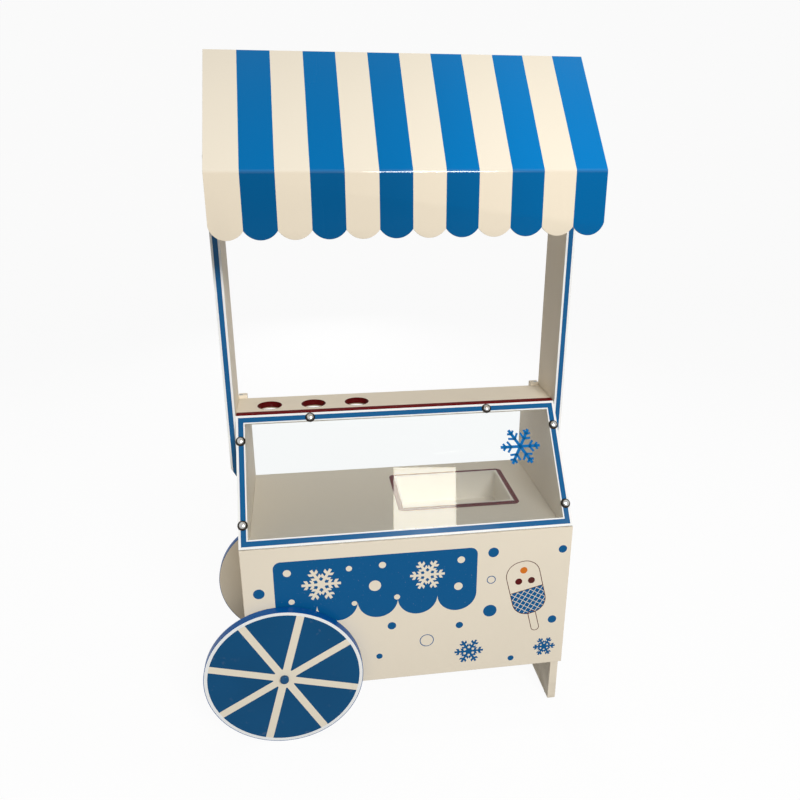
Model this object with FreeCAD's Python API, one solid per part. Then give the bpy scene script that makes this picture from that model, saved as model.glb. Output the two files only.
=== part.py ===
# Child-size ice cream kiosk: a board-built cart with a clear case, two disc wheels and a bent awning.
# Units are millimetres. The origin is on the floor under the middle of the outline, the front faces -Y.
import FreeCAD, Part
import math
import os

V = FreeCAD.Vector

# Body
board = 16.0
body_width = 600.0
body_depth = 316.0
edge_round = 1.0
front_panel_top = 407.0
case_floor_drop = 3.0
counter_height = 598.0
shelf_depth = 92.0
shelf_front_setback = 160.0
side_corner_round = 40.0
rear_rail_height = 116.0

# Clear front of the case
acrylic_thickness = 3.0
acrylic_foot_setback = 4.0
acrylic_top_gap = 3.0
border_width = 16.0
border_thickness = 0.3
dome_radius = 9.5
dome_height = 6.5
dome_shank_radius = 2.0
dome_shank_hold = 8.0
dome_hole_clearance = 0.2
side_dome_low = 42.0
side_dome_top_inset = 48.6
top_dome_offset = 166.0
top_dome_drop = 9.4

# Cone holes and dark red trim
cone_hole_radius = 23.0
cone_liner_wall = 1.0
cone_recess_radius = 29.0
cone_recess_depth = 5.0
cone_hole_first = 60.0
cone_hole_pitch = 82.0
cone_hole_count = 3
cone_hole_setback = 204.0
trim_line_width = 10.0
trim_line_lip = 2.0
trim_line_thickness = 1.0
trim_thickness = 0.5

# Lift-out tub
tub_right_inset = 52.0
tub_front_setback = 110.0
trim_frame_length = 240.0
trim_frame_width = 164.0
trim_frame_band = 8.0
trim_frame_corner = 12.0
tub_flange_width = 4.0
tub_flange_thickness = 1.6
tub_wall = 2.0
tub_depth = 62.0
moving_gap = 0.3

# Wheels and axle
wheel_radius = 144.5
wheel_inset = 63.0
rim_band_thickness = 1.0
axle_radius = 6.0
axle_running_gap = 0.05
axle_to_body_bottom = 38.5
bushing_wall = 3.0
bushing_flange_radius = 13.0
bushing_flange_thickness = 1.7
hub_cap_radius = 8.0
hub_cap_height = 6.0
hub_cap_roof = 2.0
hub_cap_round = 1.5

# Right panel glides
glide_height = 3.0
glide_radius = 7.0
glide_nail_radius = 1.5
glide_nail_length = 12.0
glide_inset = 22.0

# Posts
post_depth = 106.0
post_front_setback = 150.0
post_lap = 118.0
post_top_drop = 152.0
post_band_thickness = 0.8
post_tip_width = 9.0
post_tip_height = 17.0

# Awning
ridge_height = 1197.0
ridge_setback = 144.0
roof_rise = 168.0
bend_overhang = 13.0
valance_drop = 83.0
valance_lean = 2.4
lobe_depth = 13.5
end_lobe_rise = 18.0
stripe_count = 12
awning_thickness = 3.0
awning_bend_radius = 10.0
tape_thickness = 1.0
tape_width = 12.0
tape_end_gap = 12.0

# Arms and rails under the awning
arm_front_drop = 61.0
arm_rear_drop = 75.0
arm_rear_top_drop = 87.0
arm_peak_flat = 14.0
arm_arch_rise = 12.0
arm_top_gap = 6.0
ridge_rail_height = 60.0
ridge_rail_gap = 4.0
batten_height = 40.0
batten_top_gap = 6.0
head_rail_height = 60.0
head_rail_lift = 15.0

# Fasteners
screw_radius = 2.5
screw_head_radius = 5.0
screw_head_height = 3.0
carcass_screw_length = 45.0
post_screw_length = 28.0
cap_radius = 6.5
cap_thickness = 1.2
cap_round = 0.8
carcass_screw_inset = 52.0
post_screw_edge = 26.0
post_screw_low = 30.0
post_screw_pitch = 50.0
arm_screw_low = 36.0
arm_screw_pitch = 35.0
rail_screw_edge = 14.0
dowel_radius = 4.0
dowel_length = 30.0
dowel_in_face = 11.0
dowel_edge = 40.0
shelf_dowel_share = 0.25
block_width = 16.0
block_height = 21.0
block_bevel = 3.0
block_screw_length = 28.0
block_screw_radius = 1.6
block_screw_head_radius = 3.6
block_screw_head_height = 2.0
block_screw_spacing = 7.0

# Places worked out from the sizes above
half = body_width / 2
inner = half - board
front = -body_depth / 2
rear = body_depth / 2
panel_back = front + board
axle_height = wheel_radius
body_bottom = axle_height - axle_to_body_bottom
wheel_offset = half - wheel_inset
floor_top = front_panel_top - case_floor_drop
shelf_bottom = counter_height - board
shelf_front = front + shelf_front_setback
shelf_rear = shelf_front + shelf_depth
post_front = front + post_front_setback
post_rear = post_front + post_depth
post_outer = half + board
post_foot = counter_height - post_lap
post_top = ridge_height - post_top_drop
bend_height = ridge_height - roof_rise
arm_front_foot = bend_height - arm_front_drop
arm_rear_foot = bend_height - arm_rear_drop
arm_rear_top = ridge_height - arm_rear_top_drop
cone_hole_y = front + cone_hole_setback
cone_liner_foot = shelf_bottom + cone_recess_depth
outline_left = max(wheel_offset + wheel_radius, post_outer + cap_thickness)
outline_right = post_outer + cap_thickness
frame_shift = (outline_left - outline_right) / 2


def box(x0, x1, y0, y1, z0, z1):
    return Part.makeBox(x1 - x0, y1 - y0, z1 - z0, V(x0, y0, z0))


def rod(radius, start, direction, length):
    return Part.makeCylinder(radius, length, start, direction)


def prism(points, sweep):
    wire = Part.makePolygon(points + [points[0]])
    return Part.Face(wire).extrude(sweep)


def prism_x(outline, x0, x1):
    return prism([V(x0, y, z) for y, z in outline], V(x1 - x0, 0, 0))


def softened(solid, radius=edge_round):
    return solid.makeFillet(radius, solid.Edges)


def board_box(x0, x1, y0, y1, z0, z1):
    return softened(box(x0, x1, y0, y1, z0, z1))


def mirrored(solid):
    return solid.mirror(V(0, 0, 0), V(1, 0, 0))


def both_sides(solids):
    return solids + [mirrored(s) for s in solids]


def drilled(solid, *groups):
    for group in groups:
        for tool in group:
            solid = solid.cut(tool)
    return solid


def rounded_plate(x0, x1, y0, y1, z0, z1, corner):
    plate = box(x0, x1, y0, y1, z0, z1)
    upright = [e for e in plate.Edges if abs(e.BoundBox.ZLength) > abs(z1 - z0) / 2]
    return plate.makeFillet(corner, upright)


class Slope:
    """A straight line in the YZ plane, with places told by run along it and lift off it."""

    def __init__(self, start, end):
        self.start, self.end = start, end
        dy, dz = end[0] - start[0], end[1] - start[1]
        self.length = math.hypot(dy, dz)
        self.along = (dy / self.length, dz / self.length)
        self.out = (-self.along[1], self.along[0])

    def at(self, run, lift):
        return (self.start[0] + run * self.along[0] + lift * self.out[0],
                self.start[1] + run * self.along[1] + lift * self.out[1])

    def run_at_height(self, height, lift):
        return (height - self.start[1] - lift * self.out[1]) / self.along[1]

    def run_at_depth(self, depth, lift):
        return (depth - self.start[0] - lift * self.out[0]) / self.along[0]

    def slab(self, run0, run1, lift0, lift1, x0, x1):
        corners = [(run0, lift0), (run1, lift0), (run1, lift1), (run0, lift1)]
        return prism_x([self.at(r, o) for r, o in corners], x0, x1)

    def normal(self):
        return V(0, self.out[0], self.out[1])

    def point(self, x, run, lift):
        y, z = self.at(run, lift)
        return V(x, y, z)


# The wood's sloped front edge, from the foot of the clear sheet up to the shelf
case_slope = Slope((front + acrylic_foot_setback, front_panel_top), (shelf_front, counter_height))
acrylic_length = case_slope.length - acrylic_top_gap

# The outer face of the awning, from the bend up to the ridge, and down its valance
bend = (front - bend_overhang, bend_height)
ridge = (front + ridge_setback, ridge_height)
cusp_height = bend_height - valance_drop
valance_foot = (bend[0] - valance_lean, cusp_height - lobe_depth)
roof_slope = Slope(bend, ridge)
valance_slope = Slope(valance_foot, bend)
under_tape = -(awning_thickness + tape_thickness)


def countersunk(start, direction, length, radius, head_radius, head_height):
    head = Part.makeCone(head_radius, radius, head_height, start, direction)
    return head.fuse(rod(radius, start, direction, length)).removeSplitter()


def board_screw(start, direction, length):
    return countersunk(start, direction, length, screw_radius, screw_head_radius, screw_head_height)


def screw_cap(start, direction):
    cap = rod(cap_radius, start, direction, cap_thickness)
    top = start + direction * cap_thickness
    rim = [e for e in cap.Edges if e.Closed and (e.CenterOfMass - top).Length < cap_round]
    return cap.makeFillet(cap_round, rim)


# Screws that hold the boards between the side panels
IN_FROM_RIGHT = V(-1, 0, 0)


def carcass_screw_places():
    floor_mid = floor_top - board / 2
    bottom_mid = body_bottom + board / 2
    rail_y = rear - board / 2
    rail_z = body_bottom + rear_rail_height - post_screw_edge
    ends = (front + carcass_screw_inset, rear - carcass_screw_inset)
    places = [(y, z) for y in ends for z in (bottom_mid, floor_mid)]
    return places + [(rail_y, rail_z)]


def carcass_screws():
    return [board_screw(V(half, y, z), IN_FROM_RIGHT, carcass_screw_length)
            for y, z in carcass_screw_places()]


def carcass_screw_caps():
    return [screw_cap(V(half, y, z), V(1, 0, 0)) for y, z in carcass_screw_places()]


# Screws from the outside of a post into the side panel and into the awning arm
def post_screw_places():
    columns = (post_front + post_screw_edge, post_rear - post_screw_edge)
    low, high = post_foot + post_screw_low, arm_rear_foot + arm_screw_low
    rows = (low, low + post_screw_pitch, high, high + arm_screw_pitch)
    return [(y, z) for y in columns for z in rows]


def post_screws():
    return [board_screw(V(post_outer, y, z), IN_FROM_RIGHT, post_screw_length)
            for y, z in post_screw_places()]


def post_screw_caps():
    return [screw_cap(V(post_outer, y, z), V(1, 0, 0)) for y, z in post_screw_places()]


# Rails between the arms
rail_back = post_front - ridge_rail_gap
rail_front = rail_back - board
rail_top = roof_slope.at(roof_slope.run_at_depth(rail_front, under_tape), under_tape)[1]
ridge_rail_foot = rail_top - ridge_rail_height
batten_front = front - bend_overhang + awning_thickness + tape_thickness + tape_thickness
batten_back = batten_front + board
batten_top = bend_height - batten_top_gap
head_rail_back = post_rear
head_rail_front = head_rail_back - board
head_rail_foot = arm_rear_foot + head_rail_lift


def rail_screw_places():
    places = []
    rails = ((rail_front, ridge_rail_foot, ridge_rail_height),
             (batten_front, batten_top - batten_height, batten_height),
             (head_rail_front, head_rail_foot, head_rail_height))
    for y0, foot, height in rails:
        for z in (foot + rail_screw_edge, foot + height - rail_screw_edge):
            places.append((y0 + board / 2, z))
    return places


def rail_screws():
    return [board_screw(V(half, y, z), IN_FROM_RIGHT, carcass_screw_length) for y, z in rail_screw_places()]


# Dowels
def front_dowel_places():
    floor_mid = floor_top - board / 2
    bottom_mid = body_bottom + board / 2
    side_mid = half - board / 2
    rows = (body_bottom + dowel_edge + axle_to_body_bottom, front_panel_top - dowel_edge)
    sides = [(side_mid, z) for z in rows]
    return sides + [(half / 2, floor_mid), (half / 2, bottom_mid)]


def front_dowels():
    start = panel_back - dowel_in_face
    return both_sides([rod(dowel_radius, V(x, start, z), V(0, 1, 0), dowel_length)
                       for x, z in front_dowel_places()])


def shelf_dowels():
    side_mid = half - board / 2
    start = shelf_bottom + dowel_in_face - dowel_length
    end = shelf_depth * shelf_dowel_share
    span = (shelf_front + end, shelf_rear - end)
    return both_sides([rod(dowel_radius, V(side_mid, y, start), V(0, 0, 1), dowel_length) for y in span])


# Chrome dome screws of the clear sheet
def dome_places():
    side_mid = half - board / 2
    return [(side_mid, side_dome_low), (side_mid, acrylic_length - side_dome_top_inset),
            (top_dome_offset, acrylic_length - top_dome_drop)]


def dome_screw(x, run):
    lift = acrylic_thickness + border_thickness
    seat = case_slope.point(x, run, lift)
    out = case_slope.normal()
    ball_radius = (dome_radius ** 2 + dome_height ** 2) / (2 * dome_height)
    ball = Part.makeSphere(ball_radius, seat - out * (ball_radius - dome_height))
    keeper = rod(dome_radius + dome_height, seat, out, ball_radius)
    shank = rod(dome_shank_radius, seat, out * -1, lift + dome_shank_hold)
    return ball.common(keeper).fuse(shank).removeSplitter()


def acrylic_screws():
    return both_sides([dome_screw(x, run) for x, run in dome_places()])


def dome_holes():
    radius = dome_shank_radius + dome_hole_clearance
    lift = acrylic_thickness + border_thickness
    return both_sides([rod(radius, case_slope.point(x, run, 0), case_slope.normal(), lift)
                       for x, run in dome_places()])


# Axle, bushings and glides
def wheel_line(y0, y1, radius):
    return rod(radius, V(-wheel_offset, y0, axle_height), V(0, 1, 0), y1 - y0)


wheel_front_inner = front - bushing_flange_thickness - moving_gap
wheel_front_outer = wheel_front_inner - board
wheel_back_inner = rear + bushing_flange_thickness + moving_gap
wheel_back_outer = wheel_back_inner + board
cap_seat = wheel_back_outer + moving_gap
axle_end = cap_seat + hub_cap_height - hub_cap_roof
bushing_radius = axle_radius + bushing_wall


def axle():
    return [wheel_line(-axle_end, axle_end, axle_radius)]


def bushing(face, inside, outside):
    low, high = sorted((face, inside))
    sleeve = wheel_line(low, high, bushing_radius)
    low, high = sorted((face, outside))
    flange = wheel_line(low, high, bushing_flange_radius)
    return sleeve.fuse(flange).removeSplitter().cut(wheel_line(-axle_end, axle_end, axle_radius))


def axle_bushings():
    return [bushing(front, panel_back, front - bushing_flange_thickness),
            bushing(rear, rear - board, rear + bushing_flange_thickness)]


def hub_cap(side):
    low, high = sorted((side * cap_seat, side * (cap_seat + hub_cap_height)))
    cap = wheel_line(low, high, hub_cap_radius)
    tip = side * (cap_seat + hub_cap_height)
    rim = [e for e in cap.Edges if e.Closed and abs(e.CenterOfMass.y - tip) < hub_cap_round]
    return [cap.makeFillet(hub_cap_round, rim).cut(wheel_line(-axle_end, axle_end, axle_radius))]


def wheel_disc(y0, y1):
    bore = wheel_line(y0, y1, axle_radius + axle_running_gap)
    return [wheel_line(y0, y1, wheel_radius - rim_band_thickness).cut(bore)]


def rim_band(y0, y1):
    core = wheel_line(y0, y1, wheel_radius - rim_band_thickness)
    return [wheel_line(y0, y1, wheel_radius).cut(core)]


def leg_glides():
    x = half - board / 2
    glides = []
    for y in (panel_back + glide_inset, rear - glide_inset):
        disc = rod(glide_radius, V(x, y, 0), V(0, 0, 1), glide_height)
        nail = rod(glide_nail_radius, V(x, y, 0), V(0, 0, 1), glide_height + glide_nail_length)
        glides.append(disc.fuse(nail).removeSplitter())
    return glides


# Blocks behind the shelf, screwed forward into its edge and down into the side panel
def corner_block_screws():
    middle = half - block_width / 2
    back = shelf_rear + block_width
    top = shelf_bottom + block_height
    sizes = (block_screw_length, block_screw_radius, block_screw_head_radius, block_screw_head_height)
    inner_side, outer_side = middle - block_screw_spacing / 2, middle + block_screw_spacing / 2
    forward = countersunk(V(inner_side, back, shelf_bottom + board / 2), V(0, -1, 0), *sizes)
    down = countersunk(V(outer_side, back - block_width / 2, top), V(0, 0, -1), *sizes)
    return [forward, down]


def corner_block():
    top = shelf_bottom + block_height
    back = shelf_rear + block_width
    outline = [(shelf_rear, shelf_bottom), (back, shelf_bottom), (back, top),
               (shelf_rear + block_bevel, top), (shelf_rear, top - block_bevel)]
    return drilled(prism_x(outline, half - block_width, half), corner_block_screws())


def corner_blocks():
    return both_sides([corner_block()])


# Boards of the body
def side_outline(foot):
    nose = case_slope.at(case_slope.run_at_height(front_panel_top, 0), 0)
    top = case_slope.at(case_slope.run_at_height(shelf_bottom, 0), 0)
    return [(panel_back, foot), (panel_back, front_panel_top), nose, top, (rear, shelf_bottom), (rear, foot)]


def side_panel(foot):
    plain = prism_x(side_outline(foot), inner, half)
    upper_rear = V(half - board / 2, rear, shelf_bottom)
    corner = [e for e in plain.Edges if (e.CenterOfMass - upper_rear).Length < edge_round]
    shaped = softened(plain.makeFillet(side_corner_round, corner))
    return drilled(shaped, carcass_screws(), post_screws(), front_dowels(), shelf_dowels(),
                   acrylic_screws(), corner_block_screws(), leg_glides())


def front_panel():
    panel = board_box(-half, half, front, panel_back, body_bottom, front_panel_top)
    return [drilled(panel, front_dowels(), [wheel_line(front, panel_back, bushing_radius)])]


def bottom_board():
    panel = board_box(-inner, inner, panel_back, rear - board, body_bottom, body_bottom + board)
    return [drilled(panel, front_dowels(), both_sides(carcass_screws()))]


tub_rim_x1 = inner - tub_right_inset - trim_frame_band
tub_rim_x0 = tub_rim_x1 - trim_frame_length + 2 * trim_frame_band
tub_rim_y0 = front + tub_front_setback + trim_frame_band
tub_rim_y1 = front + tub_front_setback + trim_frame_width - trim_frame_band
tub_rim_corner = trim_frame_corner - trim_frame_band / 2
tub_seat = floor_top + moving_gap


def tub_plate(inset, z0, z1):
    corner = tub_rim_corner + moving_gap
    return rounded_plate(tub_rim_x0 + inset, tub_rim_x1 - inset, tub_rim_y0 + inset, tub_rim_y1 - inset,
                         z0, z1, corner)


def case_floor():
    panel = board_box(-inner, inner, panel_back, rear, floor_top - board, floor_top)
    opening = tub_plate(tub_flange_width, floor_top - board, floor_top)
    return [drilled(panel, [opening], front_dowels(), both_sides(carcass_screws()))]


def ice_tub():
    body_inset = tub_flange_width + moving_gap
    tub_bottom = floor_top - tub_depth
    flange = tub_plate(moving_gap, tub_seat, tub_seat + tub_flange_thickness)
    shell = tub_plate(body_inset, tub_bottom, tub_seat)
    hollow = tub_plate(body_inset + tub_wall, tub_bottom + tub_wall, tub_seat + tub_flange_thickness)
    return [shell.fuse(flange).removeSplitter().cut(hollow)]


def recess_trim():
    outer = rounded_plate(tub_rim_x0 - trim_frame_band, tub_rim_x1 + trim_frame_band,
                          tub_rim_y0 - trim_frame_band, tub_rim_y1 + trim_frame_band,
                          floor_top, floor_top + trim_thickness, trim_frame_corner)
    return [outer.cut(tub_plate(0, floor_top, floor_top + trim_thickness))]


def rear_rail():
    rail = board_box(-inner, inner, rear - board, rear, body_bottom, body_bottom + rear_rail_height)
    return [drilled(rail, both_sides(carcass_screws()), [wheel_line(rear - board, rear, bushing_radius)])]


def cone_holes(radius, foot, top):
    places = [-half + cone_hole_first + cone_hole_pitch * i for i in range(cone_hole_count)]
    return [rod(radius, V(x, cone_hole_y, foot), V(0, 0, 1), top - foot) for x in places]


def counter_shelf():
    front_top = case_slope.at(case_slope.length, 0)
    front_low = case_slope.at(case_slope.run_at_height(shelf_bottom, 0), 0)
    outline = [front_low, front_top, (shelf_rear, counter_height), (shelf_rear, shelf_bottom)]
    shelf = softened(prism_x(outline, -half, half))
    recesses = cone_holes(cone_recess_radius, shelf_bottom, cone_liner_foot)
    return [drilled(shelf, cone_holes(cone_hole_radius, cone_liner_foot, counter_height), recesses,
                    shelf_dowels(), acrylic_screws(), both_sides(corner_block_screws()))]


def cone_hole_liners():
    outsides = cone_holes(cone_hole_radius, cone_liner_foot, counter_height)
    insides = cone_holes(cone_hole_radius - cone_liner_wall, cone_liner_foot, counter_height)
    return [outside.cut(inside) for outside, inside in zip(outsides, insides)]


def shelf_trim():
    top = counter_height + trim_line_thickness
    back = shelf_front + trim_line_width
    lip_end = case_slope.length - trim_line_lip
    outer_corner = case_slope.at(case_slope.run_at_height(top, trim_line_thickness), trim_line_thickness)
    outline = [case_slope.at(lip_end, 0), case_slope.end, (back, counter_height), (back, top),
               outer_corner, case_slope.at(lip_end, trim_line_thickness)]
    return [prism_x(outline, -half + edge_round, half - edge_round)]


# Clear sheet and its border
def acrylic_front():
    sheet = case_slope.slab(0, acrylic_length, 0, acrylic_thickness, -half, half)
    return [drilled(sheet, dome_holes())]


def border_tape():
    top = acrylic_thickness + border_thickness
    full = case_slope.slab(0, acrylic_length, acrylic_thickness, top, -half, half)
    window = case_slope.slab(border_width, acrylic_length - border_width, acrylic_thickness, top,
                             -half + border_width, half - border_width)
    return [drilled(full, [window], dome_holes())]


# Posts
def post_slice(y0, y1):
    outline = [(half, post_foot), (post_outer - post_tip_width, post_foot),
               (post_outer, post_foot + post_tip_height), (post_outer, post_top), (half, post_top)]
    return prism([V(x, y0, z) for x, z in outline], V(0, y1 - y0, 0))


def post():
    return drilled(softened(post_slice(post_front + post_band_thickness, post_rear)), post_screws())


def post_bands():
    return both_sides([post_slice(post_front, post_front + post_band_thickness)])


# Arms, rails and tape under the awning
def arm():
    front_low = valance_slope.at(valance_slope.run_at_height(arm_front_foot, under_tape), under_tape)
    bend_inside = valance_slope.at(corner_run(), under_tape)
    peak = roof_slope.at(roof_slope.length - arm_top_gap, under_tape)
    peak_back = (peak[0] + arm_peak_flat, peak[1])
    points = [front_low, bend_inside, peak, peak_back, (post_rear, arm_rear_top), (post_rear, arm_rear_foot)]
    corners = [V(inner, y, z) for y, z in points]
    arch_y = (front_low[0] + post_rear) / 2
    arch_top = V(inner, arch_y, max(arm_front_foot, arm_rear_foot) + arm_arch_rise)
    edges = [Part.LineSegment(a, b).toShape() for a, b in zip(corners, corners[1:])]
    edges.append(Part.Arc(corners[-1], arch_top, corners[0]).toShape())
    plain = Part.Face(Part.Wire(edges)).extrude(V(board, 0, 0))
    return drilled(softened(plain), post_screws(), rail_screws())


def corner_run():
    """Run up the valance line to where the lines under both tapes meet."""
    p = valance_slope.at(0, under_tape)
    q = roof_slope.at(0, under_tape)
    a, b = valance_slope.along, roof_slope.along
    cross = a[0] * b[1] - a[1] * b[0]
    return ((q[0] - p[0]) * b[1] - (q[1] - p[1]) * b[0]) / cross


def rail(y0, y1, z0, z1):
    return drilled(board_box(-inner, inner, y0, y1, z0, z1), both_sides(rail_screws()))


def ridge_rail():
    tops = [roof_slope.at(roof_slope.run_at_depth(y, under_tape), under_tape)
            for y in (rail_front, rail_back)]
    outline = [(rail_front, ridge_rail_foot), tops[0], tops[1], (rail_back, ridge_rail_foot)]
    return [drilled(softened(prism_x(outline, -inner, inner)), both_sides(rail_screws()))]


def valance_batten():
    return [rail(batten_front, batten_back, batten_top - batten_height, batten_top)]


def head_rail():
    return [rail(head_rail_front, head_rail_back, head_rail_foot, head_rail_foot + head_rail_height)]


def awning_tape():
    x0 = inner + (board - tape_width) / 2
    x1 = x0 + tape_width
    run0 = awning_bend_radius + tape_end_gap
    run1 = roof_slope.run_at_depth(rail_front, under_tape) - tape_end_gap
    over_arm = roof_slope.slab(run0, run1, under_tape, -awning_thickness, x0, x1)
    low = valance_slope.run_at_height(arm_front_foot, under_tape) + tape_end_gap / 2
    high = valance_slope.length - awning_bend_radius - tape_end_gap / 2
    behind_valance = valance_slope.slab(low, high, under_tape, -awning_thickness, x0, x1)
    rail_run = roof_slope.run_at_depth((rail_front + rail_back) / 2, under_tape)
    along_ridge = roof_slope.slab(rail_run - tape_width / 2, rail_run + tape_width / 2, under_tape,
                                  -awning_thickness, -inner + tape_end_gap, inner - tape_end_gap)
    return both_sides([over_arm, behind_valance]) + [along_ridge]


# Awning: one bent sheet, then its scalloped lower edge
def bend_arc(radius):
    turn = math.acos(sum(a * b for a, b in zip(valance_slope.along, roof_slope.along)))
    reach = awning_bend_radius * math.tan(turn / 2)
    centre = valance_slope.at(valance_slope.length - reach, -awning_bend_radius)
    outs = (valance_slope.out, roof_slope.out)
    middle = (outs[0][0] + outs[1][0], outs[0][1] + outs[1][1])
    size = math.hypot(*middle)
    unit = (middle[0] / size, middle[1] / size)
    ends = (outs[0], unit, outs[1])
    return [V(-half, centre[0] + radius * u, centre[1] + radius * v) for u, v in ends]


def bent_sheet():
    inside = awning_bend_radius - awning_thickness
    outer_arc, inner_arc = bend_arc(awning_bend_radius), bend_arc(inside)

    def place(slope, run, lift):
        return slope.point(-half, run, lift)

    foot_out, foot_in = place(valance_slope, 0, 0), place(valance_slope, 0, -awning_thickness)
    top_out = place(roof_slope, roof_slope.length, 0)
    top_in = place(roof_slope, roof_slope.length, -awning_thickness)
    edges = [Part.LineSegment(foot_out, outer_arc[0]), Part.Arc(*outer_arc),
             Part.LineSegment(outer_arc[2], top_out), Part.LineSegment(top_out, top_in),
             Part.LineSegment(top_in, inner_arc[2]), Part.Arc(*reversed(inner_arc)),
             Part.LineSegment(inner_arc[0], foot_in), Part.LineSegment(foot_in, foot_out)]
    return Part.Face(Part.Wire([e.toShape() for e in edges])).extrude(V(body_width, 0, 0))


def lobe_arc(x0, x1, y):
    lowest = V((x0 + x1) / 2, y, cusp_height - lobe_depth)
    return Part.Arc(V(x0, y, cusp_height), lowest, V(x1, y, cusp_height))


def end_lobe(side, y):
    """Round outer corner of the outermost lobe, then the rest of the lobe."""
    pitch = body_width / stripe_count
    edge, middle, cusp = side * half, side * (half - pitch / 2), side * (half - pitch)
    low = cusp_height - lobe_depth
    high = cusp_height + end_lobe_rise
    width, height = pitch / 2, high - low
    radius = (width ** 2 + height ** 2) / (2 * height)
    turn = math.asin(width / radius) if height <= radius else math.pi - math.asin(width / radius)
    half_way = V(middle + side * radius * math.sin(turn / 2), y, low + radius - radius * math.cos(turn / 2))
    corner = Part.Arc(V(edge, y, high), half_way, V(middle, y, low))
    chord = ((cusp - middle) ** 2 + lobe_depth ** 2) / (2 * lobe_depth)
    part = math.asin(pitch / 2 / chord)
    between = V(middle - side * chord * math.sin(part / 2), y, low + chord - chord * math.cos(part / 2))
    rest = Part.Arc(V(middle, y, low), between, V(cusp, y, cusp_height))
    return [corner, rest], V(edge, y, high)


def awning_sheet():
    y = front - bend_overhang - valance_lean - board
    pitch = body_width / stripe_count
    left_curves, left_start = end_lobe(-1, y)
    right_curves, right_end = end_lobe(1, y)
    curves = list(left_curves)
    for i in range(1, stripe_count - 1):
        curves.append(lobe_arc(-half + i * pitch, -half + (i + 1) * pitch, y))
    curves += right_curves
    sky = ridge_height + board
    top_left, top_right = V(-half, y, sky), V(half, y, sky)
    curves += [Part.LineSegment(right_end, top_right), Part.LineSegment(top_right, top_left),
               Part.LineSegment(top_left, left_start)]
    wire = Part.Wire(Part.__sortEdges__([c.toShape() for c in curves]))
    stencil = Part.Face(wire).extrude(V(0, body_depth + board, 0))
    return [bent_sheet().common(stencil)]


def write(name, solids):
    flat = [s for solid in solids for s in solid.Solids]
    shape = flat[0] if len(flat) == 1 else Part.makeCompound(flat)
    shape.translate(V(frame_shift, 0, 0))
    shape.exportStep(os.path.join("parts", name + ".step"))
    print(name, len(flat), "solids", round(shape.Volume), "valid" if shape.isValid() else "NOT VALID")


def main():
    os.makedirs("parts", exist_ok=True)
    right_panel, left_panel = side_panel(glide_height), mirrored(side_panel(body_bottom))
    pieces = {
        "front_panel": front_panel(),
        "right_side_panel": [right_panel],
        "left_side_panel": [left_panel],
        "bottom_board": bottom_board(),
        "case_floor": case_floor(),
        "rear_rail": rear_rail(),
        "counter_shelf": counter_shelf(),
        "cone_hole_liners": cone_hole_liners(),
        "shelf_trim": shelf_trim(),
        "recess_trim": recess_trim(),
        "ice_tub": ice_tub(),
        "acrylic_front": acrylic_front(),
        "border_tape": border_tape(),
        "acrylic_screws": acrylic_screws(),
        "corner_blocks": corner_blocks(),
        "corner_block_screws": both_sides(corner_block_screws()),
        "right_post": [post()],
        "left_post": [mirrored(post())],
        "post_bands": post_bands(),
        "right_awning_arm": [arm()],
        "left_awning_arm": [mirrored(arm())],
        "ridge_rail": ridge_rail(),
        "valance_batten": valance_batten(),
        "head_rail": head_rail(),
        "awning_tape": awning_tape(),
        "awning_sheet": awning_sheet(),
        "front_wheel": wheel_disc(wheel_front_outer, wheel_front_inner),
        "front_wheel_band": rim_band(wheel_front_outer, wheel_front_inner),
        "back_wheel": wheel_disc(wheel_back_inner, wheel_back_outer),
        "back_wheel_band": rim_band(wheel_back_inner, wheel_back_outer),
        "axle": axle(),
        "axle_bushings": axle_bushings(),
        "front_hub_cap": hub_cap(-1),
        "back_hub_cap": hub_cap(1),
        "leg_glides": leg_glides(),
        "carcass_screws": both_sides(carcass_screws()),
        "carcass_screw_caps": both_sides(carcass_screw_caps()),
        "post_screws": both_sides(post_screws()),
        "post_screw_caps": both_sides(post_screw_caps()),
        "rail_screws": both_sides(rail_screws()),
        "front_dowels": front_dowels(),
        "shelf_dowels": shelf_dowels(),
    }
    for name, solids in pieces.items():
        write(name, solids)


main()
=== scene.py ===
"""Looks of a child-size ice cream kiosk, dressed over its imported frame."""
import math

import bmesh
import bpy
from bpy.props import FloatProperty, FloatVectorProperty, IntProperty, PointerProperty
from mathutils import Matrix, Vector


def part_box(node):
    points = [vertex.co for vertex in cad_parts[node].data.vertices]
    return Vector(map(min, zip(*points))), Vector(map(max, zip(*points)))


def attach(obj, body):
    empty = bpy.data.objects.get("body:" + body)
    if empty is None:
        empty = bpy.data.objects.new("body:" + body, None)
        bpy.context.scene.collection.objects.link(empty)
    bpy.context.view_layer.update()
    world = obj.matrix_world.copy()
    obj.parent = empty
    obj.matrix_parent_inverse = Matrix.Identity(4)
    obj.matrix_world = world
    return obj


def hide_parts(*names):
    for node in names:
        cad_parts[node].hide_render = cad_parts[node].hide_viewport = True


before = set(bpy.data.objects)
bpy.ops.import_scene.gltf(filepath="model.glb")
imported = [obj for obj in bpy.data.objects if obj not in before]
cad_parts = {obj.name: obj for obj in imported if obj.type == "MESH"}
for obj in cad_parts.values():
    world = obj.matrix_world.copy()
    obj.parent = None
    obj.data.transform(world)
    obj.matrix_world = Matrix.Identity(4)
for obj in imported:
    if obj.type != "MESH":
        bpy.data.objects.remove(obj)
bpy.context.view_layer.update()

bl_info = {
    "name": "Ice Cream Kiosk Looks",
    "version": (1, 0, 0),
    "blender": (4, 5, 0),
    "location": "3D View > Sidebar > Kiosk",
    "description": "Finishes the boards, awning, wheels and clear front of a child-size ice cream kiosk",
    "category": "Object",
}

STATIC_BODY = "kiosk"

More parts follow.
